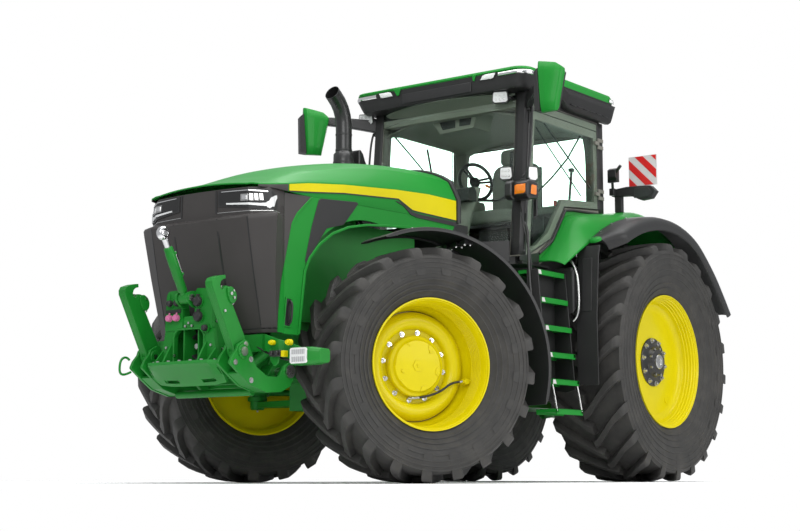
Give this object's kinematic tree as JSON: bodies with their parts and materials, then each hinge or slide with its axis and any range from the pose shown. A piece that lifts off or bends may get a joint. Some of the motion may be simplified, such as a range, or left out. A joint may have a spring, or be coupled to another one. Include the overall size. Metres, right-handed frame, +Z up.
{
  "type": "farm tractor",
  "caption": "Row-crop farm tractor with glazed cab, wide lugged tyres, front and rear linkages and a tilting hood.",
  "frame": {"origin": "on the ground, in the middle of the overall length and width", "axes": "+X forward, +Y to the driver's left, +Z up"},
  "size_m": [6.2709, 2.9371, 3.2898],
  "materials": {
    "green_panel": "glossy moulded hood and fender green",
    "green_cast": "painted castings and hitch",
    "rubber": "tyre rubber",
    "wheel_yellow": "painted steel wheel",
    "black_plastic": "moulded black plastic",
    "black_metal": "black painted steel",
    "glass": "tinted cab glass",
    "steel": "bare steel",
    "seat": "seat cloth",
    "board": "red and white board"
  },
  "bodies": {
    "chassis": {"cab_floor_and_lower_walls": "black_plastic", "cab_frame": "black_plastic", "cab_roof": "black_plastic", "cab_steps": "green_cast", "cab_windows": "glass", "door_mirrors": "black_metal", "driver_and_passenger_seat_cushions": "seat", "engine_block": "green_cast", "exhaust_stack": "black_metal", "fender_extensions": "black_plastic", "front_axle_and_arms": "green_cast", "front_hitch_frame": "green_cast", "fuel_tanks": "black_metal", "hood_hinge_frame": "black_plastic", "main_frame": "green_cast", "rear_fenders": "green_panel", "rear_linkage_brackets_and_drawbar": "green_cast", "steering_column_and_armrest": "black_plastic", "transmission_and_rear_axle": "green_cast", "width_marker_boards": "board"},
    "left_front_wheel": {"front_tyre_left": "rubber", "front_rim_and_hub_left": "wheel_yellow"},
    "right_front_wheel": {"front_tyre_right": "rubber", "front_rim_and_hub_right": "wheel_yellow"},
    "left_rear_wheel": {"rear_tyre_left": "rubber", "rear_rim_and_axle_left": "wheel_yellow"},
    "right_rear_wheel": {"rear_tyre_right": "rubber", "rear_rim_and_axle_right": "wheel_yellow"},
    "left_knuckle": {"steering_knuckle_left": "green_cast", "front_fender_left": "black_plastic"},
    "right_knuckle": {"steering_knuckle_right": "green_cast", "front_fender_right": "black_plastic"},
    "tie_rod": {"steering_tie_rod": "steel"},
    "steering_wheel": {"steering_wheel": "black_plastic"},
    "left_door": {"left_door": "black_plastic", "left_door_glass": "glass"},
    "hood": {"hood_top": "green_panel", "hood_side_panels": "green_panel", "hood_nose": "black_plastic"},
    "front_lift": {"front_lift_carrier": "green_cast"},
    "front_arms": {"front_lower_arms": "green_cast"},
    "front_top_link": {"front_top_link": "green_cast"},
    "front_cylinders": {"front_lift_cylinders": "green_cast"},
    "front_cylinder_rods": {"front_lift_cylinder_rods": "steel"},
    "rear_lift_arms": {"rear_lift_arms": "green_cast"},
    "rear_lower_links": {"rear_lower_links": "green_cast"},
    "rear_lift_rods": {"rear_lift_rods": "green_cast"},
    "rear_top_link": {"rear_top_link": "green_cast"}
  },
  "joints": [
    {"name": "left_front_wheel_spin", "type": "hinge", "parent": "left_knuckle", "child": "left_front_wheel", "pos_m": [1.45173, 0.84954, 0.81], "axis": [0.4226, 0.9063, 0], "continuous": true},
    {"name": "right_front_wheel_spin", "type": "hinge", "parent": "right_knuckle", "child": "right_front_wheel", "pos_m": [1.31227, -0.84954, 0.81], "axis": [0.4226, 0.9063, 0], "continuous": true},
    {"name": "left_rear_wheel_spin", "type": "hinge", "parent": "chassis", "child": "left_rear_wheel", "pos_m": [-1.668, 0.891, 1.005], "axis": [0, 1, 0], "continuous": true},
    {"name": "right_rear_wheel_spin", "type": "hinge", "parent": "chassis", "child": "right_rear_wheel", "pos_m": [-1.668, -0.891, 1.005], "axis": [0, 1, 0], "continuous": true},
    {"name": "left_steering", "type": "hinge", "parent": "chassis", "child": "left_knuckle", "pos_m": [1.382, 0.7, 0.81], "axis": [0, 0, 1], "range_deg": [-3, 53]},
    {"name": "right_steering", "type": "hinge", "parent": "chassis", "child": "right_knuckle", "pos_m": [1.382, -0.7, 0.81], "axis": [0, 0, 1], "range_deg": [-3, 53]},
    {"name": "tie_rod_slide", "type": "slide", "parent": "chassis", "child": "tie_rod", "axis": [0, 1, 0], "range_m": [-0.27, 0.016]},
    {"name": "steering_wheel_turn", "type": "hinge", "parent": "chassis", "child": "steering_wheel", "pos_m": [-0.51512, 0, 2.49164], "axis": [-0.8829, 0, 0.4695], "range_deg": [-30, 530]},
    {"name": "left_door_hinge", "type": "hinge", "parent": "chassis", "child": "left_door", "pos_m": [-1.279, 0.763, 2.42], "axis": [0, 0, 1], "range_deg": [0, 60]},
    {"name": "hood_hinge", "type": "hinge", "parent": "chassis", "child": "hood", "pos_m": [0.532, 0, 2.1], "axis": [0, -1, 0], "range_deg": [0, 40]},
    {"name": "front_lift_hinge", "type": "hinge", "parent": "chassis", "child": "front_lift", "pos_m": [2.352, 0, 0.74], "axis": [0, -1, 0], "range_deg": [-28, 10]},
    {"name": "front_arms_fold", "type": "hinge", "parent": "front_lift", "child": "front_arms", "pos_m": [2.81, 0, 0.847], "axis": [0, 1, 0], "range_deg": [0, 68]},
    {"name": "front_top_link_hinge", "type": "hinge", "parent": "chassis", "child": "front_top_link", "pos_m": [2.872, 0, 1.215], "axis": [0, 1, 0], "range_deg": [0, 80]},
    {"name": "front_cylinder_hinge", "type": "hinge", "parent": "chassis", "child": "front_cylinders", "pos_m": [2.342, 0, 0.905], "axis": [0, -1, 0], "range_deg": [-22, 22]},
    {"name": "front_cylinder_stroke", "type": "slide", "parent": "front_cylinders", "child": "front_cylinder_rods", "axis": [0.8599, 0, -0.5105], "range_m": [-0.065, 0.065]},
    {"name": "rear_lift_hinge", "type": "hinge", "parent": "chassis", "child": "rear_lift_arms", "pos_m": [-2.048, 0, 1.35], "axis": [0, 1, 0], "range_deg": [-25, 30]},
    {"name": "rear_lower_links_hinge", "type": "hinge", "parent": "chassis", "child": "rear_lower_links", "pos_m": [-2.048, 0, 0.62], "axis": [0, 1, 0], "range_deg": [-25, 30]},
    {"name": "rear_lift_rods_hinge", "type": "hinge", "parent": "rear_lift_arms", "child": "rear_lift_rods", "pos_m": [-2.498, 0, 1.35], "axis": [0, 1, 0], "range_deg": [-30, 25]},
    {"name": "rear_top_link_hinge", "type": "hinge", "parent": "chassis", "child": "rear_top_link", "pos_m": [-2.138, 0, 1.23], "axis": [0, 1, 0], "range_deg": [-30, 45]}
  ],
  "couplings": [
    {"joint": "right_steering", "follows": "left_steering", "ratio": 1},
    {"joint": "tie_rod_slide", "follows": "left_steering", "m_per_rad": -0.2885},
    {"joint": "steering_wheel_turn", "follows": "left_steering", "ratio": 10},
    {"joint": "front_cylinder_hinge", "follows": "front_lift_hinge", "ratio": 0.7292},
    {"joint": "front_cylinder_stroke", "follows": "front_lift_hinge", "m_per_rad": -0.1242},
    {"joint": "rear_lower_links_hinge", "follows": "rear_lift_hinge", "ratio": 1},
    {"joint": "rear_lift_rods_hinge", "follows": "rear_lift_hinge", "ratio": -1}
  ]
}
